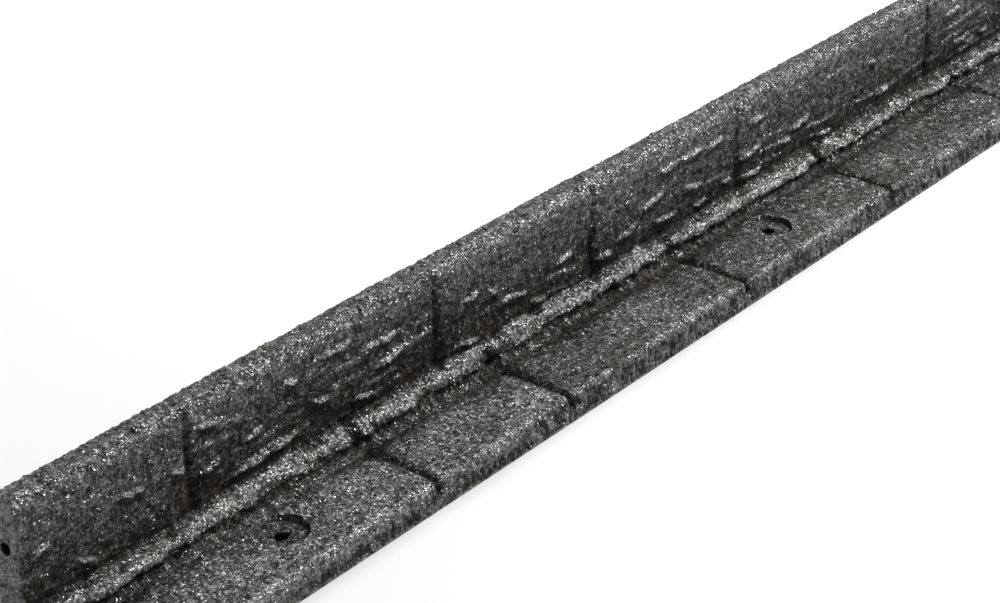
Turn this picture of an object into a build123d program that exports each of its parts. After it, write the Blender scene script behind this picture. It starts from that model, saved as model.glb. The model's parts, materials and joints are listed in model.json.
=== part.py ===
from build123d import *
import os

# Moulded rubber edging strip for a lawn or flower bed, with a stone course pressed into its
# face, and the loose pin that lines it up with the next strip.
#
# Frame, in millimetres: the origin is on the ground, at mid length, on the axis of the middle
# spike hole. +X runs along the strip to the end that carries the pin, +Y points to the plain
# back, which holds the soil, and +Z is up.

# Overall size
LENGTH = 1219.2
HEIGHT = 88.9
DEPTH = 88.9
HALF = LENGTH / 2

# Setbacks are measured from the back face towards the front
SPIKE_SETBACK = 53.0
BACK = SPIKE_SETBACK
FRONT = BACK - DEPTH

# Wall: a thin upright with a rounded top
WALL_TOP_SETBACK = 17.5
WALL_FOOT_SETBACK = 19.5
WALL_FOOT_HEIGHT = 29.5
WALL_FRONT_ROUND = 8.5
WALL_BACK_ROUND = 3.5

# Ledge: a sloping rocky step along the foot of the wall
LEDGE_SETBACK = 31.0
LEDGE_HEIGHT = 22.5
LEDGE_ROUND = 3.0
LEDGE_FOOT_ROUND = 3.0

# Flange: the low, nearly level paving in front of the ledge
VALLEY_SETBACK = 32.0
VALLEY_HEIGHT = 16.8
VALLEY_ROUND = 3.0
EDGE_SETBACK = 86.4
EDGE_HEIGHT = 16.2
EDGE_ROUND = 4.0

# Stone widths, from the plain end to the pin end
WALL_STONES = (115, 199, 149, 159, 248, 130, 119)
PAVING_STONES = (234, 118, 183, 177, 184, 130)
JOINT_WIDTH = 4.0
JOINT_DEPTH = 2.8
JOINT_OVERCUT = 1.0

# Spike holes, each in a shallow round recess
SPIKE_PITCH = 465.0
SPIKE_COUNT = 3
SPIKE_HOLE_RADIUS = 4.0
RECESS_FLOOR_HEIGHT = 12.5
RECESS_FLOOR_RADIUS = 14.0
RECESS_RIM_RADIUS = 16.5
RECESS_CUT = 5.0

# End sockets in the wall, and the joining pin, half of which stands out of the strip
SOCKET_SETBACK = 9.0
SOCKET_HEIGHT = 60.5
SOCKET_RADIUS = 3.5
SOCKET_DEPTH = 45.0
PIN_RADIUS = 3.175
PIN_LENGTH = 89.0
PIN_END_GAP = 0.5
PIN_CHAMFER = 0.8
PIN_GROOVE_WIDTH = 1.0
PIN_GROOVE_DEPTH = 0.35

os.makedirs("parts", exist_ok=True)


def joint_places(stones):
    """X of the joint after each stone of a course that starts at the plain end."""
    return [sum(stones[: count + 1]) - HALF for count in range(len(stones))]


# Cross-section in the YZ plane
wall_foot = (BACK - WALL_FOOT_SETBACK, WALL_FOOT_HEIGHT)
wall_top = (BACK - WALL_TOP_SETBACK, HEIGHT)
back_top = (BACK, HEIGHT)
valley = (BACK - VALLEY_SETBACK, VALLEY_HEIGHT)
paving_edge = (BACK - EDGE_SETBACK, EDGE_HEIGHT)
front_toe = (FRONT, 0)
section_corners = {
    (BACK, 0): 0,
    front_toe: 0,
    paving_edge: EDGE_ROUND,
    valley: VALLEY_ROUND,
    (BACK - LEDGE_SETBACK, LEDGE_HEIGHT): LEDGE_ROUND,
    wall_foot: LEDGE_FOOT_ROUND,
    wall_top: WALL_FRONT_ROUND,
    back_top: WALL_BACK_ROUND,
}

# Each joint runs up its course from the foot and over the rounded edge to the far side
joint_runs = [(x, (wall_foot, wall_top, back_top), WALL_FRONT_ROUND) for x in joint_places(WALL_STONES)]
joint_runs += [(x, (front_toe, paving_edge, valley), EDGE_ROUND) for x in joint_places(PAVING_STONES)]

# The strip is one moulding
with BuildPart() as edging_strip:
    with BuildSketch(Plane.YZ):
        with BuildLine():
            FilletPolyline(*section_corners, radius=section_corners.values(), close=True)
        make_face()
    extrude(amount=HALF, both=True)

    # V-shaped joints between the stones
    overcut_half_width = JOINT_WIDTH / 2 * (1 + JOINT_OVERCUT / JOINT_DEPTH)
    for x, run, corner_round in joint_runs:
        with BuildLine(Plane.YZ.offset(x)) as joint_run:
            FilletPolyline(*run, radius=corner_round)
        with BuildSketch(Plane(joint_run.line @ 0, x_dir=(1, 0, 0), z_dir=joint_run.line % 0)):
            with BuildLine():
                Polyline(
                    (-overcut_half_width, -JOINT_OVERCUT),
                    (overcut_half_width, -JOINT_OVERCUT),
                    (0, JOINT_DEPTH),
                    close=True,
                )
            make_face()
        sweep(mode=Mode.SUBTRACT)

    # Spike holes with their recesses
    with Locations((0, 0, RECESS_FLOOR_HEIGHT)):
        with GridLocations(SPIKE_PITCH, 1, SPIKE_COUNT, 1):
            Cone(
                RECESS_FLOOR_RADIUS,
                RECESS_RIM_RADIUS,
                RECESS_CUT,
                align=(Align.CENTER, Align.CENTER, Align.MIN),
                mode=Mode.SUBTRACT,
            )
            Hole(SPIKE_HOLE_RADIUS, depth=RECESS_FLOOR_HEIGHT)

    # A blind socket in each end of the wall
    socket_y = BACK - SOCKET_SETBACK
    for side in (-1, 1):
        with Locations(Location((side * HALF, socket_y, SOCKET_HEIGHT), (0, side * 90, 0))):
            Hole(SOCKET_RADIUS, depth=SOCKET_DEPTH)

edging_strip.part.label = "edging_strip"
export_step(edging_strip.part, "parts/edging_strip.step")

# The joining pin rests at the bottom of its socket, and a fine groove marks its middle
pin_start = HALF - SOCKET_DEPTH + PIN_END_GAP
with BuildPart() as joining_pin:
    with BuildSketch(Plane.YZ.offset(pin_start)):
        with Locations((socket_y, SOCKET_HEIGHT)):
            Circle(PIN_RADIUS)
    extrude(amount=PIN_LENGTH)
    chamfer(joining_pin.edges().filter_by(GeomType.CIRCLE), length=PIN_CHAMFER)
    with BuildSketch(Plane.YZ.offset(pin_start + (PIN_LENGTH - PIN_GROOVE_WIDTH) / 2)):
        with Locations((socket_y, SOCKET_HEIGHT)):
            Circle(PIN_RADIUS)
            Circle(PIN_RADIUS - PIN_GROOVE_DEPTH, mode=Mode.SUBTRACT)
    extrude(amount=PIN_GROOVE_WIDTH, mode=Mode.SUBTRACT)

joining_pin.part.label = "joining_pin"
export_step(joining_pin.part, "parts/joining_pin.step")
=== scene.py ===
import json
import math

import bpy
import numpy as np
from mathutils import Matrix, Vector
from mathutils.geometry import delaunay_2d_cdt


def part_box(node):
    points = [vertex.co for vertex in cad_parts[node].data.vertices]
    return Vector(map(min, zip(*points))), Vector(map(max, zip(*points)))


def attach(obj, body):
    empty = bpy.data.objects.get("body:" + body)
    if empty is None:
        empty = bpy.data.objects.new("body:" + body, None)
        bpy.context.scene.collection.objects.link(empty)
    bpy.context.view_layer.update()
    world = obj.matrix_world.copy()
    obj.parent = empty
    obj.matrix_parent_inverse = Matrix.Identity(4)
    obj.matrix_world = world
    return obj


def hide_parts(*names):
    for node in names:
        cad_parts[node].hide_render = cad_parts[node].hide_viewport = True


# The strip's skin is worked out in millimetres and made in metres. Its shape follows from
# x along the strip and s, the distance round the cross-section: up the back from the ground,
# over the wall, down its stone face, across the ledge and the paving, and down to the toe.

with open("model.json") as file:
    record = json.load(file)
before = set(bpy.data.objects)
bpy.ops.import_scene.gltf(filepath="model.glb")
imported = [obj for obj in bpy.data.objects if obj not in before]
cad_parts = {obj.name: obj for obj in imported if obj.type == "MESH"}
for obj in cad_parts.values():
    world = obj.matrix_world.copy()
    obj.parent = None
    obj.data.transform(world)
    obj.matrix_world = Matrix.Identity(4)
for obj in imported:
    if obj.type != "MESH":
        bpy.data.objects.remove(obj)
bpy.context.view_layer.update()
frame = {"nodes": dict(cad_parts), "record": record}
mounts = {mount["name"]: mount for mount in frame["record"]["mounts"]}

MM = 0.001
strip_low, strip_high = (np.array(corner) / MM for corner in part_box("edging_strip"))
HALF = strip_high[0]
BACK = strip_high[1]
HEIGHT = strip_high[2]
DEPTH = BACK - strip_low[1]

# Cross-section corners: setback from the back face, height and rounding
SECTION = {
    "back_bottom": (0, 0, 0),
    "back_top": (0, HEIGHT, 3.5),
    "wall_top": (17.5, HEIGHT, 8.5),
    "wall_foot": (19.5, 29.5, 3.0),
    "ledge": (31.0, 22.5, 3.0),
    "valley": (32.0, 16.8, 3.0),
    "edge": (86.4, 16.2, 4.0),
    "toe": (DEPTH, 0, 0),
}

# Stone widths, from the plain end to the pin end
WALL_STONES = (115, 199, 149, 159, 248, 130, 119)
PAVING_STONES = (234, 118, 183, 177, 184, 130)

# Single layers that stand out of the wall's stones like small shelves, stone by stone: distance
# from the plain end, height, length, and how far the layer rises along its length
SHELVES = (
    (13, 59, 9, 2), (40, 39, 12, -4), (74, 61, 15, -2), (107, 58, 7, 0),

    (132, 74, 16, -3), (193, 71.5, 9, -3), (228, 76, 22, 0), (266, 66, 28, -1), (163, 54.5, 13, 3),
    (132, 49.5, 13, 3), (217, 50.5, 11, -2), (270, 53, 20, 3), (157, 39, 24, 4), (180, 41, 14, -1),
    (252, 38, 22, -3),

    (344, 61, 12, 0), (365, 57, 7, 0), (434, 52.5, 17, 3), (385, 46, 22, -4), (343, 34, 18, -4),
    (407, 35, 12, -2),

    (542, 73, 16, 0), (568, 73, 24, 0), (595, 72, 18, 1), (526, 56.5, 22, 3), (570, 50.5, 18, -3),
    (474, 38.5, 15, 0), (498, 45, 18, 4), (540, 39.5, 20, -1), (578, 36, 10, 0), (608, 40.5, 10, 0),

    (645, 71.5, 15, 0), (637, 50.5, 22, 3), (638, 35, 20, -1), (698, 51, 22, 2), (679, 45, 8, 2),
    (731, 33, 16, 0), (792, 65, 8, 0), (806, 40, 13, 3),

    (915, 44, 14, 0), (934, 39, 12, 0), (953, 41, 10, 2), (905, 70, 20, 2), (985, 56, 18, -3),
    (1030, 62, 16, 3), (1060, 42, 22, -2), (1095, 72, 14, 0),

    (1130, 50, 15, 2), (1165, 38, 20, -3), (1185, 66, 18, 2),
)
SHELF_DEPTH = 2.6

# Spike holes and end sockets
SPIKE_XS = sorted(m["pos_m"][0] / MM for name, m in mounts.items() if name.startswith("spike_hole"))
SPIKE_HOLE_RADIUS = mounts["spike_hole_mid"]["dims"]["r_mm"]
RECESS_FLOOR = mounts["spike_hole_mid"]["dims"]["length_mm"]
RECESS_FLOOR_RADIUS = 14.0
RECESS_RIM_RADIUS = 16.0
SOCKET = mounts["end_socket"]
SOCKET_RADIUS = SOCKET["dims"]["r_mm"]
SOCKET_DEPTH = SOCKET["dims"]["length_mm"]
SOCKET_Y = SOCKET["pos_m"][1] / MM
SOCKET_Z = SOCKET["pos_m"][2] / MM

# Spacing of the skin's points: along the strip and on the paving, down the wall, up the back and
# along the ground, inside the end faces, and under the strip
FINE = 0.9
FINER = 0.8
COARSE = 2.0
END_SPACING = 1.3
UNDER_SPACING = 7
# A recess takes a square of the paving's points, this many steps from its middle to each side
RECESS_PATCH = 20
# Sides of an end socket, and steps of each rounded corner of the cross-section
SOCKET_SIDES = 40
CORNER_STEPS = 24

# Widths of the rubber crumbs: coarse and fine all over, loose lumps, on the recess floors and end
# faces, and in the spike holes
COARSE_CRUMB = 2.2
FINE_CRUMB = 1.4
LOOSE_CRUMB = 4.2
CUT_CRUMB = 2.4
HOLE_CRUMB = 1.6

# Painted shade: tones of the dark inside of a hole, and of a socket's mouth
PAINTED_HOLE_SHADE = -1
PAINTED_MOUTH_SHADE = -0.5


# ---------------------------------------------------------------- noise

# The last argument of each kind of noise is its seed, different for each use.

# Large odd multipliers, which mix the bits of a whole number well, and the bits that are kept
MIX_I, MIX_J, MIX_SEED = 374761393, 668265263, 974634777
MIX_AGAIN, MIX_LAST = 1274126177, 2246822519
LOW_BITS = 0xFFFFFFFF


def lattice(i, j, seed):
    """A random number in 0..1 for each whole-numbered point of the plane."""
    h = (i.astype(np.int64) * MIX_I + j.astype(np.int64) * MIX_J + seed * MIX_SEED) & LOW_BITS
    h = ((h ^ (h >> 13)) * MIX_AGAIN) & LOW_BITS
    h = ((h ^ (h >> 16)) * MIX_LAST) & LOW_BITS
    return (h ^ (h >> 15)) / float(LOW_BITS)


def noise(u, v, seed):
    """Smooth noise in about -1..1, with hills about one unit across."""
    i, j = np.floor(u), np.floor(v)
    fu, fv = u - i, v - j
    wu, wv = (f * f * f * (f * (f * 6 - 15) + 10) for f in (fu, fv))
    corner = {}
    for a in (0, 1):
        for b in (0, 1):
            angle = lattice(i + a, j + b, seed) * 2 * np.pi
            corner[a, b] = np.cos(angle) * (fu - a) + np.sin(angle) * (fv - b)
    low = corner[0, 0] * (1 - wu) + corner[1, 0] * wu
    high = corner[0, 1] * (1 - wu) + corner[1, 1] * wu
    return (low * (1 - wv) + high * wv) * 1.5


def rough(u, v, seed, octaves=3):
    """Noise with finer and weaker noise on top of it."""
    return sum(noise(u * 2**k, v * 2**k, seed + k) / 2**k for k in range(octaves))


def crumbs(u, v, seed):
    """Domed grains, one in each unit cell, each at its own height: 0..1."""
    i, j = np.floor(u), np.floor(v)
    nearest = np.full(u.shape, 9.0)
    height = np.zeros(u.shape)
    for a in (-1, 0, 1):
        for b in (-1, 0, 1):
            pu = i + a + lattice(i + a, j + b, seed)
            pv = j + b + lattice(i + a, j + b, seed + 1)
            distance = np.hypot(u - pu, v - pv)
            closer = distance < nearest
            nearest = np.where(closer, distance, nearest)
            height = np.where(closer, lattice(i + a, j + b, seed + 2), height)
    return 0.55 * height + 0.45 * (1 - np.minimum(nearest, 1) ** 2)


def ramp(value, start, end):
    """0 before start, 1 after end, and smooth between them."""
    t = np.clip((value - start) / (end - start), 0, 1)
    return t * t * (3 - 2 * t)


def band(value, start, end, soft):
    """1 between start and end, fading to 0 over soft on each side."""
    return ramp(value, start - soft, start + soft) * (1 - ramp(value, end - soft, end + soft))


# ---------------------------------------------------------------- cross-section

def rounded_outline(corners):
    """Points along an open outline with rounded corners, and the distance along it to each corner."""
    points, places = [], {}
    names = list(corners)
    flat = {name: np.array((BACK - setback, z), float) for name, (setback, z, _) in corners.items()}
    for before, name, after in zip([None] + names[:-1], names, names[1:] + [None]):
        here, radius = flat[name], corners[name][2]
        if not radius or before is None or after is None:
            places[name] = len(points)
            points.append(here)
            continue
        to_before = (flat[before] - here) / np.linalg.norm(flat[before] - here)
        to_after = (flat[after] - here) / np.linalg.norm(flat[after] - here)
        half_angle = math.acos(np.clip(to_before @ to_after, -1, 1)) / 2
        bisector = (to_before + to_after) / np.linalg.norm(to_before + to_after)
        centre = here + bisector * radius / math.sin(half_angle)
        first = here + to_before * radius / math.tan(half_angle) - centre
        last = here + to_after * radius / math.tan(half_angle) - centre
        turn = math.atan2(first[0] * last[1] - first[1] * last[0], first @ last)
        places[name] = len(points) + CORNER_STEPS // 2
        for angle in np.linspace(0, turn, CORNER_STEPS + 1):
            cos, sin = math.cos(angle), math.sin(angle)
            spin = np.array(((cos, -sin), (sin, cos)))
            points.append(centre + spin @ first)
    points = np.array(points)
    along = np.concatenate(([0], np.cumsum(np.linalg.norm(np.diff(points, axis=0), axis=1))))
    return points, along, {name: along[place] for name, place in places.items()}


# The smooth section: its points, how far round it each one lies, and how far round each corner lies
OUTLINE, ALONG, S = rounded_outline(SECTION)
TANGENT = np.gradient(OUTLINE, ALONG, axis=0)
NORMAL = np.stack((TANGENT[:, 1], -TANGENT[:, 0]), axis=1)
# Where the row of spike holes lies, at y = 0
S_HOLE = float(np.interp(0, OUTLINE[::-1, 0], ALONG[::-1]))


def section_point(s):
    """(y, z) and the outward normal's (y, z) at distance s round the smooth cross-section."""
    y, z, ny, nz = (np.interp(s, ALONG, column) for column in (*OUTLINE.T, *NORMAL.T))
    size = np.hypot(ny, nz)
    return y, z, ny / size, nz / size


# ---------------------------------------------------------------- relief

# Relief is in millimetres out of the smooth section. Tone runs with it from about -1, for a dark, dull
# hollow with painted shade, to 1, for a crumb, crest or edge with a painted highlight; it also carries the
# rubber's own mottling.

WALL_JOINTS = np.cumsum(WALL_STONES) - HALF
PAVING_JOINTS = np.cumsum(PAVING_STONES) - HALF

# For each wall stone: how strongly its lower, middle and upper third are layered
LAYERING = (
    (0.3, 0.15, 0.1), (1.1, 0.8, 0.25), (0.9, 0.4, 0.1), (0.5, 0.4, 0.3),
    (0.7, 0.45, 0.35), (0.9, 0.7, 0.3), (0.8, 0.6, 0.4), (0.9, 0.5, 0.4),
)
# For each wall stone: how far its face stands out, and how strongly it swells and sinks
STONE_STEPS = (0.6, -0.3, 0.1, 0.4, -0.2, 0.4, -0.4, 0.3)
SWELLS = (0.5, 0.9, 1.7, 0.8, 1.0, 0.9, 1.1, 0.8)
# For each wall joint: how deeply it cuts into the face, and how deeply over the top
JOINT_CUTS = (
    (3.0, 1.8), (2.4, 0.9), (1.8, 1.1), (2.4, 0.4), (2.0, 0.8), (2.6, 0.6), (2.4, 0.9),
)
# For each wall joint: how far its top leans along the strip
JOINT_LEANS = (0.8, 0.8, 2.0, 2.5, 0.0, -1.5, 1.0)
# How the ledge's crest wanders: distance from the plain end, and where it lies between the
# wall's foot (0) and the ledge's lip (1)
CREST = (
    (0, 0.7), (50, 0.85), (85, 0.62), (130, 0.52), (170, 0.33), (200, 0.55), (265, 0.7),
    (300, 0.45), (340, 0.52), (395, 0.38), (430, 0.55), (480, 0.75), (510, 0.6), (590, 0.75),
    (625, 0.65), (660, 0.85), (720, 0.75), (760, 0.9), (825, 0.65), (870, 0.9), (940, 0.6),
    (1030, 0.8), (1110, 0.55), (1220, 0.75),
)
# For each paving stone: the tone of its middle, above the upright faces' tone as painted light on the
# upward paving, and a little different from stone to stone
PAVING_TONES = (0.44, 0.34, 0.0, 0.0, -0.04, 0.0, 0.1)


def nearest_joint(x, joints):
    """For each x, which stone it is in and which joint is the nearest."""
    stone = np.searchsorted(joints, x)
    left = np.clip(stone - 1, 0, len(joints) - 1)
    right = np.clip(stone, 0, len(joints) - 1)
    nearest = np.where(np.abs(x - joints[left]) < np.abs(x - joints[right]), left, right)
    return stone, nearest


def groove(distance, half_width, shoulder):
    """A V-shaped joint, 0..1 deep, with the stones' edges rounded into it."""
    vee = np.clip(1 - np.abs(distance) / half_width, 0, 1)
    return 0.85 * vee + 0.15 * np.exp(-np.abs(distance) / shoulder)


def shelf_relief(x, z):
    """The wall's single layers: relief, and tone with a painted highlight along each layer's upper edge and
    painted shadow under it.
    """
    out, tone = np.zeros(x.shape), np.zeros(x.shape)
    for number, (middle, level, length, rise) in enumerate(SHELVES):
        near = np.abs(x + HALF - middle) < length
        here = x[near]
        along = (here + HALF - middle) / length
        window = 1 - ramp(np.abs(along), 0.2, 0.8)
        edge = level + rise * along + 0.9 * noise(here / 6, here * 0 + number * 1.7, 141)
        below = edge - z[near]
        shelf = ramp(below, -0.9, 1.0) * (1 - ramp(below, 1.0, 9))
        out[near] = np.maximum(out[near], SHELF_DEPTH * window * shelf)
        # painted highlight on the shelf's upper edge, painted shadow below it
        tone[near] += window * (1.3 * band(below, -0.9, 1.1, 0.5) - 0.6 * band(below, 3, 6, 2))
    return out, tone


def terraces(x, z, stone):
    """Broken layers, each one sloping out towards its upper edge: 0..1."""
    sway = 6.0 * noise(x / 80, stone * 3.1 + z / 90, 21) + 1.5 * noise(x / 26, z / 40, 22)
    level = (z + sway) / 9.0
    layer = np.floor(level)
    part = level - layer
    reach = np.clip(0.3 + 1.4 * noise(x / 48 + layer * 3.7, layer * 5.3 + stone * 7.1, 23), 0, 1)
    return reach * np.where(part < 0.75, (part / 0.75) ** 1.5, 1 - ramp(part, 0.75, 1.0))


def wall_relief(x, z):
    """Stone face of the wall: layered stones with joints between them."""
    up = np.clip((z - 30) / (HEIGHT - 30), 0, 1)
    stone, joint = nearest_joint(x, WALL_JOINTS)
    cuts, leans = np.array(JOINT_CUTS), np.array(JOINT_LEANS)
    wander = 0.9 * noise(z / 14, joint * 7.3, 11)
    from_joint = x - WALL_JOINTS[joint] - leans[joint] * (up - 0.4) - wander
    depth = cuts[joint, 0] * (1 - up) ** 0.3 + cuts[joint, 1] * up
    cut = groove(from_joint, 3.2 + 6.5 * (1 - up) ** 2.5, 7)

    layering = np.array(LAYERING)[stone]
    strength = layering[..., 0] * (1 - ramp(up, 0.2, 0.5)) * ramp(up, -0.1, 0.12)
    strength += layering[..., 1] * band(up, 0.35, 0.7, 0.15)
    strength += layering[..., 2] * ramp(up, 0.6, 0.85)
    terrace = terraces(x, z, stone)
    shelves, shelf_painted_light = shelf_relief(x, z)
    swell = np.array(SWELLS)[stone] * (0.4 + 0.8 * (1 - up))
    relief = 2.5 * strength * (terrace - 0.3) + shelves - depth * cut
    relief += swell * noise(x / 34 + stone * 2.9, z / 19, 27) + np.array(STONE_STEPS)[stone]
    # painted highlight on the layers' upper edges, painted shade in the joints, deeper lower down
    tone = shelf_painted_light + 1.2 * strength * (terrace - 0.4) - cut * (1.1 - 0.7 * up)
    # the upright face darker overall and lighter towards its top, painted light and shade, and darker at
    # its foot as painted shade
    tone += 0.6 * up - 0.38 - 0.3 * (1 - ramp(up, 0.02, 0.28))
    return relief, tone


def top_relief(x, s):
    """Wall top: nearly flat, creased where the deeper joints run over it."""
    _, joint = nearest_joint(x, WALL_JOINTS)
    cuts, leans = np.array(JOINT_CUTS), np.array(JOINT_LEANS)
    from_joint = x - WALL_JOINTS[joint] - 0.6 * leans[joint] - 1.2 * noise(s / 9, joint * 3.7, 41)
    cut = groove(from_joint, 3.0, 9)
    relief = 0.6 * noise(x / 55, s / 20, 42) + 0.4 * noise(x / 14, s / 9, 43) - cuts[joint, 1] * cut
    # painted shade in the creases
    return relief, -0.3 * cuts[joint, 1] * cut


def ledge_relief(x, s):
    """Rocky ledge at the wall's foot, with a bright crest that breaks at the paving's joints, its
    brightness a painted highlight:
    relief, tone, and how far its lip reaches forward."""
    across = (s - S["wall_foot"]) / (S["ledge"] - S["wall_foot"])
    _, joint = nearest_joint(x, PAVING_JOINTS)
    _, wall_joint = nearest_joint(x, WALL_JOINTS)
    gap = np.exp(-((x - PAVING_JOINTS[joint] + 1.0) / 4.5) ** 2)
    gap = gap * (0.5 + 0.5 * ramp(across, 0.2, 0.7))
    notch = np.exp(-((x - WALL_JOINTS[wall_joint]) / 4) ** 2)
    rocks = rough(x / 16, s / 8, 51)
    crest_place = np.interp(x + HALF, *np.transpose(CREST)) + 0.08 * noise(x / 14, s * 0, 57)
    crest_width = 0.35 + 0.2 * noise(x / 18, s * 0, 58) - 0.05 * ramp(x, 0, 450)
    breaks = ramp(noise(x / 17, s / 40, 59) + 0.08 + 0.4 * ramp(x, 0, 450), 0.3, 0.7)
    crest = np.exp(-((across - crest_place) / crest_width) ** 2) * (1 - 0.8 * breaks)
    fall = ramp(across, crest_place + 0.3 * crest_width, crest_place + 1.5 * crest_width)
    relief = 1.5 * rocks + 2.4 * crest - 1.0 - 1.4 * fall - 4.5 * gap - 1.0 * notch
    forward = 2.2 * noise(x / 30, s * 0, 55) + 1.3 * noise(x / 10, s * 0, 56) - 1.5 * gap
    # painted highlight along the crest; painted shade on its drop, in the gaps at the paving's joints and
    # under the lip
    under_lip = ramp(s, S["ledge"] + 0.5, S["ledge"] + 2.5)
    crest_highlight = (3.4 - 1.2 * ramp(x, 100, 450)) * (0.8 + 0.5 * noise(x / 22, s * 0, 60))
    crest_highlight = crest_highlight * (1 - 0.85 * gap)
    on_top = crest_highlight * crest * (0.9 + 0.7 * rocks) - 0.5 - 0.15 * fall - 1.2 * gap
    return relief, on_top * (1 - under_lip) - 0.75 * under_lip, forward


def paving_relief(x, s):
    """Paving: stones that fall away at the back and towards their straight joints."""
    across = (s - S["valley"]) / (S["edge"] - S["valley"])
    stone, joint = nearest_joint(x, PAVING_JOINTS)
    from_joint = x - PAVING_JOINTS[joint] - 1.5 * noise(s / 16, joint * 5.1, 61)
    cut = groove(from_joint, 3.4 + 4.5 * (1 - across) ** 2, 6)
    hollows = noise(x / 48 + stone * 3.3, s / 24, 62)
    back_edge = 1 - ramp(across, 0.0, 0.24)
    relief = 0.9 * hollows + 0.5 * noise(x / 17, s / 11, 63) - 3.0 * cut - 2.2 * back_edge
    # painted shade in the joints and along the back, where the paving falls away below the ledge
    return relief, np.array(PAVING_TONES)[stone] + 0.4 * hollows - 1.3 * cut - 0.75 * back_edge


def front_relief(x, s):
    """Front face: upright streaks where the crumb left the mould, darker near the ground."""
    low = ramp(s, S["toe"] - 8, S["toe"] - 1)
    streaks = noise(x / 2.6, s / 13, 73)
    clods = rough(x / 15, s / 8, 74, 4)
    relief = 0.5 * streaks + 0.7 * noise(x / 24, s / 9, 72) + 0.25 * low * clods
    # the upright front face darker overall and darker still near the ground, painted shade
    return relief, 0.6 * streaks + 0.5 * clods - 0.4 - 0.25 * low


def grain_relief(x, s, size, seed):
    """Rubber crumbs over the whole skin, stirred so that no cell grid shows: -0.5..0.5."""
    u = x / size + 0.5 * noise(x / 9, s / 9, seed + 7)
    v = s / size + 0.5 * noise(x / 8, s / 8, seed + 8)
    return crumbs(u, v, seed) - 0.5


def skin(x, s):
    """The strip's skin at x along it and s round its cross-section: x, y, z and tone of each point."""
    x, s = np.broadcast_arrays(np.asarray(x, float), np.asarray(s, float))
    y, z, ny, nz = section_point(s)
    face = band(s, S["wall_top"], S["wall_foot"], 3)
    top = band(s, S["back_top"], S["wall_top"], 4)
    ledge = band(s, S["wall_foot"] - 1, S["valley"], 2)
    paving = band(s, S["valley"] + 1, S["edge"] + 8, 2)
    front = ramp(s, S["edge"], S["edge"] + 5) * (1 - ramp(s, S["toe"] - 3, S["toe"]))
    back = band(s, 4, S["back_top"], 3)

    wall_out, wall_tone = wall_relief(x, z)
    top_out, top_tone = top_relief(x, s)
    ledge_out, ledge_tone, forward = ledge_relief(x, s)
    paving_out, paving_tone = paving_relief(x, s)
    front_out, front_tone = front_relief(x, s)
    height = face * wall_out + top * top_out + ledge * ledge_out + paving * paving_out
    height += back * 0.3 * noise(x / 40, s / 40, 71) + front * front_out
    tone = face * wall_tone + top * top_tone + ledge * ledge_tone + paving * paving_tone
    tone += front * front_tone

    # crumbs: coarser on the top and ledge, pressed smoother on the face, none at the ground
    off_ground = ramp(s, 0.5, 3) * (1 - ramp(s, S["toe"] - 2, S["toe"]))
    size = off_ground * (0.6 + 0.4 * top + 0.35 * ledge + 0.15 * paving - 0.1 * face)
    coarse, fine = grain_relief(x, s, COARSE_CRUMB, 81), grain_relief(x, s, FINE_CRUMB, 91)
    loose = np.clip(grain_relief(x, s, LOOSE_CRUMB, 101) - 0.42, 0, 1)
    height += size * (1.4 * coarse + 0.7 * fine) + off_ground * (0.3 + 0.9 * top) * 13 * loose
    mottle = rough(x / 6, s / 6, 151, 2)
    height += off_ground * 0.25 * mottle
    # tone: crumb tops lighter and the pits between them darker as painted shade, a painted highlight along
    # the paving's front edge, the wall's top a little lighter as painted light on its upward face, and
    # random mottling
    painted_edge_highlight = (0.2 + 0.6 * noise(x / 12, s * 0, 152)) * band(s, S["edge"] - 3, S["edge"] + 2, 2)
    tone += 1.4 * coarse + 0.6 * fine + 0.5 * mottle + painted_edge_highlight + 0.15 * top

    # the ends are rounded over a little
    height -= off_ground * 0.9 * np.exp(-(HALF - np.abs(x)) / 1.2)
    reach = ledge * np.maximum(forward, -3) * band(s, S["ledge"] - 1, S["valley"], 3)
    y = y + ny * height - reach
    z = np.maximum(z + nz * height, 0)
    return np.stack((x, y, z, tone), axis=-1)


# ---------------------------------------------------------------- mesh

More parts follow.
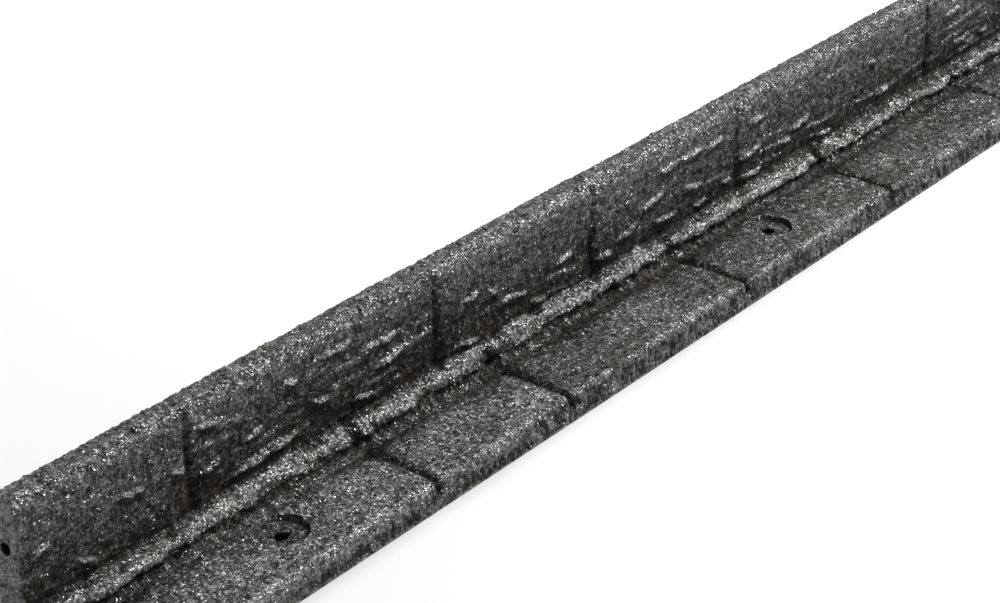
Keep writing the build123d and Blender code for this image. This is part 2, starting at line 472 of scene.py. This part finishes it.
class Skin:
    """Points and faces of one mesh, gathered piece by piece. A point is x, y, z and tone."""

    def __init__(self):
        self.points, self.quads, self.triangles, self.count = [], [], [], 0

    def add(self, points):
        """Adds points of any array shape, and returns their numbers in the same shape."""
        flat = np.asarray(points, float).reshape(-1, 4)
        numbers = np.arange(self.count, self.count + len(flat)).reshape(np.shape(points)[:-1])
        self.points.append(flat)
        self.count += len(flat)
        return numbers

    def band(self, first, second):
        """Quads between two closed loops of the same length; the first, outer one turns anticlockwise."""
        quads = np.stack((first, np.roll(first, -1), np.roll(second, -1), second), axis=-1)
        self.quads.append(quads.reshape(-1, 4))

    def fill(self, loops, inner, axes, keep, flip):
        """Triangles over a nearly flat region between loops of points, with inner points of its own."""
        numbers = np.concatenate([*loops, inner])
        where = np.concatenate(self.points)[numbers][:, axes]
        edges, start = [], 0
        for loop in loops:
            ring = np.arange(start, start + len(loop))
            edges += list(zip(ring.tolist(), np.roll(ring, -1).tolist()))
            start += len(loop)
        out = delaunay_2d_cdt([Vector(p) for p in where.tolist()], edges, [], 0, 1e-6)
        places, faces, origin = np.array([p[:] for p in out[0]]), np.array(out[2]), out[3]
        source = np.array([which[0] for which in origin])
        middle = places[faces].mean(axis=1)
        faces = faces[keep(middle)]
        a, b, c = (places[faces[:, k]] for k in range(3))
        area = (b[:, 0] - a[:, 0]) * (c[:, 1] - a[:, 1]) - (b[:, 1] - a[:, 1]) * (c[:, 0] - a[:, 0])
        clockwise = (area < 0) != flip
        faces[clockwise] = faces[clockwise][:, ::-1]
        self.triangles.append(numbers[source[faces]])

    def mesh(self, name):
        """The Blender mesh, in metres, without the points that no face uses."""
        points = np.concatenate(self.points)
        quads, triangles = np.concatenate(self.quads), np.concatenate(self.triangles)
        corners = np.concatenate((quads.ravel(), triangles.ravel()))
        used, corners = np.unique(corners, return_inverse=True)
        sizes = np.concatenate((np.full(len(quads), 4), np.full(len(triangles), 3)))
        mesh = bpy.data.meshes.new(name)
        mesh.vertices.add(len(used))
        mesh.vertices.foreach_set("co", (points[used, :3] * MM).astype(np.float32).ravel())
        mesh.loops.add(len(corners))
        mesh.loops.foreach_set("vertex_index", corners.astype(np.int32))
        mesh.polygons.add(len(sizes))
        mesh.polygons.foreach_set("loop_start", (np.cumsum(sizes) - sizes).astype(np.int32))
        mesh.update(calc_edges=True)
        tone = mesh.attributes.new("tone", "FLOAT", "POINT")
        tone.data.foreach_set("value", np.clip(points[used, 3], -1, 1).astype(np.float32))
        mesh.shade_smooth()
        return mesh


def stations(stops, spacings):
    """Values that include every stop, evenly spaced from each stop to the next."""
    pieces = []
    for start, end, spacing in zip(stops, stops[1:], spacings):
        pieces.append(np.linspace(start, end, max(1, round((end - start) / spacing)) + 1)[:-1])
    return np.concatenate((*pieces, [stops[-1]]))


def grid_spots(us, vs):
    """The points of a rectangular grid in the plane, one after another."""
    u, v = np.meshgrid(us, vs)
    return np.stack((u.ravel(), v.ravel()), axis=-1)


def distance_to(place, points):
    """How far each point in the plane is from one place."""
    return np.hypot(points[:, 0] - place[0], points[:, 1] - place[1])


def circle(radius, angles, centre):
    """The two coordinates of points on a circle."""
    return centre[0] + radius * np.cos(angles), centre[1] + radius * np.sin(angles)


def inside(points, outline):
    """Which points lie inside a closed outline in the plane."""
    x, y = points[:, 0, None], points[:, 1, None]
    x1, y1 = outline[:, 0], outline[:, 1]
    x2, y2 = np.roll(x1, -1), np.roll(y1, -1)
    with np.errstate(divide="ignore", invalid="ignore"):
        crosses = ((y1 > y) != (y2 > y)) & (x < (x2 - x1) * (y - y1) / (y2 - y1) + x1)
    return crosses.sum(axis=1) % 2 == 1


def spike_recess(body, grid, xs, ss, x_hole):
    """Puts the round recess and its hole in place of a square of the paving, and returns the hole's
    lower rim and the square's middle in the grid."""
    i, j = np.argmin(np.abs(xs - x_hole)), np.argmin(np.abs(ss - S_HOLE))
    n = RECESS_PATCH
    lines = np.arange(-n, n)
    # the square's border, anticlockwise from above; s grows towards the front, which is -Y
    border_i = i + np.concatenate((lines, np.full(2 * n, n), -lines, np.full(2 * n, -n)))
    border_j = j + np.concatenate((np.full(2 * n, n), -lines, np.full(2 * n, -n), lines))
    outer = grid[border_i, border_j]
    bx, bs = xs[border_i], ss[border_j]
    angles = np.arctan2(-(bs - S_HOLE), bx - x_hole)

    rim_radius = RECESS_RIM_RADIUS + 0.5 * noise(angles * 3, angles * 0 + x_hole, 111)
    rim_x, rim_s = x_hole + rim_radius * np.cos(angles), S_HOLE - rim_radius * np.sin(angles)
    previous = outer

    def add_ring(points):
        nonlocal previous
        ring = body.add(points)
        body.band(previous, ring)
        previous = ring

    def round_points(radius, z, tone):
        x, y = circle(radius, angles, (x_hole, 0))
        return np.stack(np.broadcast_arrays(x, y, z, tone), axis=-1)

    # paving up to the rim, lightened towards the rim as a painted highlight
    for t in (0.2, 0.4, 0.6, 0.8, 1.0):
        points = skin(bx + (rim_x - bx) * t, bs + (rim_s - bs) * t)
        points[:, 3] += 0.9 * ramp(t, 0.5, 1)
        add_ring(points)
    # steep side of the recess, darker downwards as painted shade
    rim_z = skin(rim_x, rim_s)[:, 2]
    floor = RECESS_FLOOR + 0.8 + 0.6 * noise(angles * 2, angles * 0 + x_hole, 113)
    crumb = grain_relief(bx, bs, COARSE_CRUMB, 115)
    for t in (0.15, 0.4, 0.7, 1.0):
        radius = rim_radius + (RECESS_FLOOR_RADIUS - rim_radius) * t
        z = rim_z + (floor - rim_z) * ramp(t, -0.1, 1.05)
        add_ring(round_points(radius, z + 0.6 * crumb * (1 - t), crumb - 0.4 * t))
    # floor of the recess, its crumb tops lighter and pits darker as painted shade
    for radius in np.linspace(RECESS_FLOOR_RADIUS - 0.8, SPIKE_HOLE_RADIUS + 0.5, 11):
        level = RECESS_FLOOR + (floor - RECESS_FLOOR) * ramp(radius, SPIKE_HOLE_RADIUS, RECESS_FLOOR_RADIUS)
        crumb = grain_relief(*circle(radius, angles, (x_hole, 0)), CUT_CRUMB, 117)
        add_ring(round_points(radius, level + 1.1 * crumb, crumb + 0.1))
    # wall of the hole, truly round where it meets the underside, darkened inside as painted shade
    for z in (RECESS_FLOOR - 0.6, 10.5, 8, 5, 2.5, 0):
        wobble = 0.25 * grain_relief(angles * SPIKE_HOLE_RADIUS, angles * 0 + z, HOLE_CRUMB, 119) * (z > 0)
        add_ring(round_points(SPIKE_HOLE_RADIUS + wobble, z, PAINTED_HOLE_SHADE))
    return previous, (i, j)


def end_socket(body, side):
    """Adds a blind round socket in one end, and returns the loop of its mouth, anticlockwise seen
    from +X."""
    angles = np.linspace(0, 2 * np.pi, SOCKET_SIDES, endpoint=False)
    ragged = 0.35 * noise(angles * 2, angles * 0 + side, 121)
    loops = []
    for depth in (0, 0.7, 4, 12, 24, SOCKET_DEPTH):
        at_mouth = depth == 0
        y, z = circle(SOCKET_RADIUS + ragged * at_mouth, angles, (SOCKET_Y, SOCKET_Z))
        # the socket's mouth and inside darkened as painted shade
        tone = PAINTED_MOUTH_SHADE if at_mouth else PAINTED_HOLE_SHADE
        columns = np.broadcast_arrays(side * (HALF - depth), y, z, tone)
        loops.append(body.add(np.stack(columns, axis=-1)))
    for outer, inner in zip(loops, loops[1:]):
        body.band(*((outer, inner) if side > 0 else (inner, outer)))
    bottom = body.add(np.array(((side * (HALF - SOCKET_DEPTH), SOCKET_Y, SOCKET_Z, PAINTED_HOLE_SHADE),)))
    last = loops[-1]
    fan = np.stack((last, np.roll(last, -1), np.full(len(last), bottom[0])), axis=-1)
    body.triangles.append(fan if side > 0 else fan[:, ::-1])
    return loops[0]


def close_end(body, side, skin_line, random):
    """Adds the end face round its socket, and returns its line along the ground, toe to back."""
    ys = stations([BACK - DEPTH, BACK], [COARSE])[1:-1]
    ground = body.add(np.stack(np.broadcast_arrays(side * HALF, ys, 0, 0), axis=-1))
    outline = np.concatenate((skin_line, ground))
    mouth = end_socket(body, side)
    shape = np.concatenate(body.points)[outline][:, 1:3]
    socket = (SOCKET_Y, SOCKET_Z)

    # loosely scattered points inside the face, clear of its edges
    spots = grid_spots(np.arange(BACK - DEPTH, BACK, END_SPACING), np.arange(0.6, HEIGHT, END_SPACING))
    spots += random.uniform(-0.35, 0.35, spots.shape)
    from_edge = np.hypot(spots[:, None, 0] - shape[:, 0], spots[:, None, 1] - shape[:, 1])
    clear = inside(spots, shape) & (from_edge.min(axis=1) > 0.7)
    spots = spots[clear & (distance_to(socket, spots) > SOCKET_RADIUS + 0.9)]
    # crumb tops lighter and pits darker as painted shade
    crumb = grain_relief(*spots.T, CUT_CRUMB, 131 + side)
    end_x = side * (HALF + np.minimum(0.9 * crumb - 0.2, 0.3))
    inner = body.add(np.stack((end_x, *spots.T, crumb + 0.2), axis=-1))

    def in_face(points):
        return inside(points, shape) & (distance_to(socket, points) > SOCKET_RADIUS * 0.95)

    body.fill([outline, mouth], inner, [1, 2], in_face, flip=side < 0)
    return ground


def close_underside(body, border, hole_rims):
    """Adds the flat underside, between its border and the spike holes."""
    def off_holes(points, radius):
        return np.all([distance_to((x, 0), points) > radius for x in SPIKE_XS], axis=0)

    def in_face(points):
        return off_holes(points, SPIKE_HOLE_RADIUS * 0.95)

    xs = np.arange(-HALF + 5, HALF - 4, UNDER_SPACING)
    ys = np.arange(BACK - DEPTH + 5, BACK - 4, UNDER_SPACING)
    spots = grid_spots(xs, ys)
    spots = spots[off_holes(spots, SPIKE_HOLE_RADIUS + 3)]
    inner = body.add(np.stack(np.broadcast_arrays(*spots.T, 0, 0), axis=-1))
    body.fill([border, *hole_rims], inner, [0, 1], in_face, flip=True)


def make_strip():
    """The whole moulding as one closed mesh."""
    body = Skin()
    xs = stations([-HALF, *SPIKE_XS, HALF], [FINE] * (len(SPIKE_XS) + 1))
    patch = RECESS_PATCH * FINE
    stops = [0, S["back_top"] - 3, S["wall_top"], S_HOLE - patch, S_HOLE + patch, S["toe"]]
    ss = stations(stops, [COARSE, FINE, FINER, FINE, FINE])
    grid = body.add(skin(*np.meshgrid(xs, ss, indexing="ij")))
    cells = np.ones((len(xs) - 1, len(ss) - 1), bool)

    hole_rims = []
    for x_hole in SPIKE_XS:
        rim, (i, j) = spike_recess(body, grid, xs, ss, x_hole)
        hole_rims.append(rim)
        n = RECESS_PATCH
        cells[i - n:i + n, j - n:j + n] = False
    quads = np.stack((grid[:-1, :-1], grid[:-1, 1:], grid[1:, 1:], grid[1:, :-1]), axis=-1)
    body.quads.append(quads[cells])

    random = np.random.default_rng(5)
    left = close_end(body, -1, grid[0], random)
    right = close_end(body, 1, grid[-1], random)
    close_underside(body, np.concatenate((grid[:, -1], right, grid[::-1, 0], left[::-1])), hole_rims)
    return body.mesh("rubber_strip")


# ---------------------------------------------------------------- materials

def node(tree, kind, inputs=None, **settings):
    """A shader node with its settings and inputs; an input is a value or another node's output."""
    made = tree.nodes.new(kind)
    for name, value in settings.items():
        setattr(made, name, value)
    for name, value in (inputs or {}).items():
        if isinstance(value, bpy.types.NodeSocket):
            tree.links.new(value, made.inputs[name])
        else:
            made.inputs[name].default_value = value
    return made


def ramp_node(tree, factor, stops):
    """A colour ramp through (position, grey or colour) stops."""
    made = node(tree, "ShaderNodeValToRGB", {"Fac": factor})
    elements = made.color_ramp.elements
    while len(elements) < len(stops):
        elements.new(0.5)
    for element, (position, colour) in zip(elements, stops):
        element.position = position
        shade = (colour,) * 3 if isinstance(colour, (int, float)) else colour
        element.color = (*shade, 1)
    return made.outputs["Color"]


def add(tree, first, second):
    """The sum of two vectors."""
    return node(tree, "ShaderNodeVectorMath", {0: first, 1: second}).outputs[0]


def lean(tree, colour, size):
    """A vector of up to about half of size, its way read from a texture's colour."""
    centred = node(tree, "ShaderNodeVectorMath", {0: colour, 1: (0.5, 0.5, 0.5)}, operation="SUBTRACT")
    scaled = {0: centred.outputs[0], "Scale": size}
    return node(tree, "ShaderNodeVectorMath", scaled, operation="SCALE").outputs[0]


def mix(tree, factor, first, second, **settings):
    """first and second blended by factor."""
    inputs = {"Factor": factor, "A": first, "B": second}
    return node(tree, "ShaderNodeMix", inputs, **settings).outputs["Result"]


def new_material(name):
    """A material, its node tree and its shader."""
    material = bpy.data.materials.new(name)
    material.use_nodes = True
    tree = material.node_tree
    return material, tree, tree.nodes["Principled BSDF"]


# Cells of the crumb's texture per metre: clumps of grains, grains and fines
CLUMPS, GRAINS, FINES = 520.0, 900.0, 1500.0


def rubber_material():
    """Bonded rubber crumb: dark angular grains, each with its own grey, gloss and tilt."""
    material, tree, shader = new_material("crumb_rubber")
    place = node(tree, "ShaderNodeTexCoord").outputs["Object"]
    tone = node(tree, "ShaderNodeAttribute", attribute_name="tone").outputs["Fac"]
    stir = node(tree, "ShaderNodeTexNoise", {"Vector": place, "Scale": 380.0, "Detail": 2.0})
    stirred = add(tree, place, lean(tree, stir.outputs["Color"], 0.0015))
    clumps, grains, fines = (
        node(tree, "ShaderNodeTexVoronoi", {"Vector": stirred, "Scale": scale})
        for scale in (CLUMPS, GRAINS, FINES))
    broad = node(tree, "ShaderNodeTexNoise", {"Vector": place, "Scale": 22.0, "Detail": 4.0})
    grain = node(tree, "ShaderNodeSeparateColor", {"Color": grains.outputs["Color"]}).outputs
    fine = node(tree, "ShaderNodeSeparateColor", {"Color": fines.outputs["Color"]}).outputs

    # warm dark hollows, neutral greys, and a few pale grains
    grain_colour = ramp_node(tree, grain[0], (
        (0.0, (0.0065, 0.0053, 0.0035)),
        (0.5, (0.0118, 0.0107, 0.0085)),
        (0.8, (0.022, 0.0222, 0.0225)),
        (0.93, (0.055, 0.056, 0.056)),
        (1.0, (0.12, 0.122, 0.122)),
    ))
    fine_colour = ramp_node(tree, fine[1], (
        (0.0, (0.006, 0.006, 0.005)),
        (0.6, (0.018, 0.0175, 0.0165)),
        (0.9, (0.04, 0.04, 0.039)),
        (1.0, (0.12, 0.12, 0.12)),
    ))
    colour = mix(tree, 0.4, grain_colour, fine_colour, data_type="RGBA")
    shade = ramp_node(tree, broad.outputs["Fac"], ((0.3, 0.8), (0.7, 1.25)))
    # the tone scales the colour: painted highlight where it is light and painted shade where it is dark,
    # along with the rubber's own mottling
    tone_fraction = node(tree, "ShaderNodeMapRange", {"Value": tone, "From Min": -1.0, "From Max": 1.0})
    painted_light_and_mottle = ramp_node(tree, tone_fraction.outputs["Result"], (
        (0.05, (0.34, 0.25, 0.14)),
        (0.5, (1.05, 0.93, 0.74)),
        (0.8, (1.8, 1.86, 1.95)),
        (1.0, (5.9, 6.0, 6.0)),
    ))
    clumped = ramp_node(tree, clumps.outputs["Color"], ((0.1, 0.35), (0.5, 0.95), (0.9, 1.8)))
    for layer in (shade, painted_light_and_mottle, clumped):
        colour = mix(tree, 1.0, colour, layer, data_type="RGBA", blend_type="MULTIPLY")
    tree.links.new(colour, shader.inputs["Base Color"])

    # each grain's own roughness, a little less where the tone is light
    own_gloss = ramp_node(tree, grain[2], ((0.0, 0.3), (0.4, 0.42), (0.6, 0.65), (1.0, 0.9)))
    gloss = node(tree, "ShaderNodeMath", {0: tone, 1: -0.25, 2: own_gloss},
                 operation="MULTIPLY_ADD", use_clamp=True)
    tree.links.new(gloss.outputs[0], shader.inputs["Roughness"])
    shader.inputs["Specular IOR Level"].default_value = 0.25
    # cut faces of the rubber are glossy, and more of them where the tone is light
    chance = mix(tree, 0.6, grain[1], fine[0])
    cut_faces = node(tree, "ShaderNodeMath", {0: tone, 1: 0.5, 2: chance}, operation="MULTIPLY_ADD")
    coat = ramp_node(tree, cut_faces.outputs[0], ((0.42, 0.0), (0.62, 1.0)))
    tree.links.new(coat, shader.inputs["Coat Weight"])
    shader.inputs["Coat Roughness"].default_value = 0.2
    shader.inputs["Coat IOR"].default_value = 1.85

    normal = node(tree, "ShaderNodeNewGeometry").outputs["Normal"]
    for cells, tilt in ((grains, 1.1), (fines, 0.6)):
        normal = add(tree, normal, lean(tree, cells.outputs["Color"], tilt))
    normal = node(tree, "ShaderNodeVectorMath", {0: normal}, operation="NORMALIZE").outputs[0]
    domed = {"Strength": 0.5, "Distance": 0.0006, "Height": grains.outputs["Distance"], "Normal": normal}
    rounded = node(tree, "ShaderNodeBump", domed, invert=True)
    for socket in ("Normal", "Coat Normal"):
        tree.links.new(rounded.outputs["Normal"], shader.inputs[socket])
    return material


def steel_material():
    """Zinc-plated rod: bright, finely drawn along its length, with dull patches."""
    material, tree, shader = new_material("zinc_plated_steel")
    place = node(tree, "ShaderNodeTexCoord").outputs["Object"]
    drawn = node(tree, "ShaderNodeMapping", {"Vector": place, "Scale": (40.0, 1800.0, 1800.0)})
    lines = node(tree, "ShaderNodeTexNoise", {"Vector": drawn.outputs[0], "Scale": 1.0, "Detail": 3.0})
    patches = node(tree, "ShaderNodeTexNoise", {"Vector": place, "Scale": 160.0, "Detail": 5.0})
    colour = ramp_node(tree, patches.outputs["Fac"], (
        (0.3, (0.36, 0.365, 0.37)),
        (0.55, (0.55, 0.555, 0.56)),
        (0.75, (0.66, 0.66, 0.65)),
    ))
    tree.links.new(colour, shader.inputs["Base Color"])
    shader.inputs["Metallic"].default_value = 1.0
    gloss = ramp_node(tree, patches.outputs["Fac"], ((0.3, 0.5), (0.7, 0.28)))
    tree.links.new(gloss, shader.inputs["Roughness"])
    grooves = {"Strength": 0.35, "Distance": 0.0001, "Height": lines.outputs["Fac"]}
    scratched = node(tree, "ShaderNodeBump", grooves)
    tree.links.new(scratched.outputs["Normal"], shader.inputs["Normal"])
    return material


def floor_material():
    """Pale matt floor."""
    material, _, shader = new_material("pale_floor")
    shader.inputs["Base Color"].default_value = (*FLOOR_COLOUR, 1)
    shader.inputs["Roughness"].default_value = 0.6
    return material


# ---------------------------------------------------------------- stage

# The light is a little warm, and the floor a little blue, so that the floor comes out white
WARM_WHITE = (1.0, 0.99, 0.955)
WORLD_STRENGTH = 0.42
FLOOR_COLOUR = (0.885, 0.89, 0.93)
FLOOR_SIZE = 14
FLOOR_DROP = 0.0002

# The camera's place in metres, its heading from +X and its pitch in degrees, its lens and sensor
# width in millimetres, and how far it sees in metres
CAMERA_PLACE = (-1.2586, BACK * MM - 0.825, 0.721)
CAMERA_HEADING = 38.3
CAMERA_PITCH = -27.4
CAMERA_LENS = 90.1
CAMERA_SENSOR = 36
CAMERA_REACH = 50


def make_floor():
    """A wide floor just under the strip."""
    bpy.ops.mesh.primitive_plane_add(size=FLOOR_SIZE, location=(0, 0, -FLOOR_DROP))
    floor = bpy.context.object
    floor.name = "floor"
    floor.data.materials.append(floor_material())


def aim(thing, place, direction):
    """Puts a light or a camera into the scene at place, looking along direction."""
    thing.location = place
    thing.rotation_euler = direction.to_track_quat("-Z", "Y").to_euler()
    bpy.context.scene.collection.objects.link(thing)


def make_light(name, place, target, size, power):
    """A soft, slightly warm rectangular light that faces target."""
    data = bpy.data.lights.new(name, "AREA")
    data.color = WARM_WHITE
    data.shape = "RECTANGLE"
    data.size, data.size_y = size
    data.energy = power
    aim(bpy.data.objects.new(name, data), place, Vector(target) - Vector(place))


def make_stage():
    """White studio: even light all round, one softbox beyond the far end and a weak one behind."""
    world = bpy.data.worlds.new("studio")
    world.use_nodes = True
    background = world.node_tree.nodes["Background"]
    background.inputs["Color"].default_value = (*WARM_WHITE, 1)
    background.inputs["Strength"].default_value = WORLD_STRENGTH
    bpy.context.scene.world = world
    make_floor()
    make_light("far_softbox", place=(2.6, -1.2, 2.8), target=(0, 0, 0), size=(0.95, 0.95), power=172)
    make_light("rear_softbox", place=(1.3, 1.0, 2.0), target=(0, 0, 0.05), size=(1.6, 0.8), power=15)
    bpy.context.scene.view_settings.view_transform = "Standard"


def make_camera():
    """Looks down the strip from its plain end, as far away as a long lens needs."""
    data = bpy.data.cameras.new("camera")
    data.lens = CAMERA_LENS
    data.sensor_width = CAMERA_SENSOR
    data.clip_end = CAMERA_REACH
    camera = bpy.data.objects.new("camera", data)
    heading, pitch = math.radians(CAMERA_HEADING), math.radians(CAMERA_PITCH)
    level = math.cos(pitch)
    ahead = Vector((math.cos(heading) * level, math.sin(heading) * level, math.sin(pitch)))
    aim(camera, CAMERA_PLACE, ahead)
    bpy.context.scene.camera = camera


# ---------------------------------------------------------------- the part

make_camera()
make_stage()

strip = bpy.data.objects.new("rubber_strip", make_strip())
bpy.context.scene.collection.objects.link(strip)
strip.data.materials.append(rubber_material())
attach(strip, "strip")
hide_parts("edging_strip")

pin = frame["nodes"]["joining_pin"]
pin_steel = steel_material()
for pin_slot in pin.material_slots:
    pin_slot.material = pin_steel
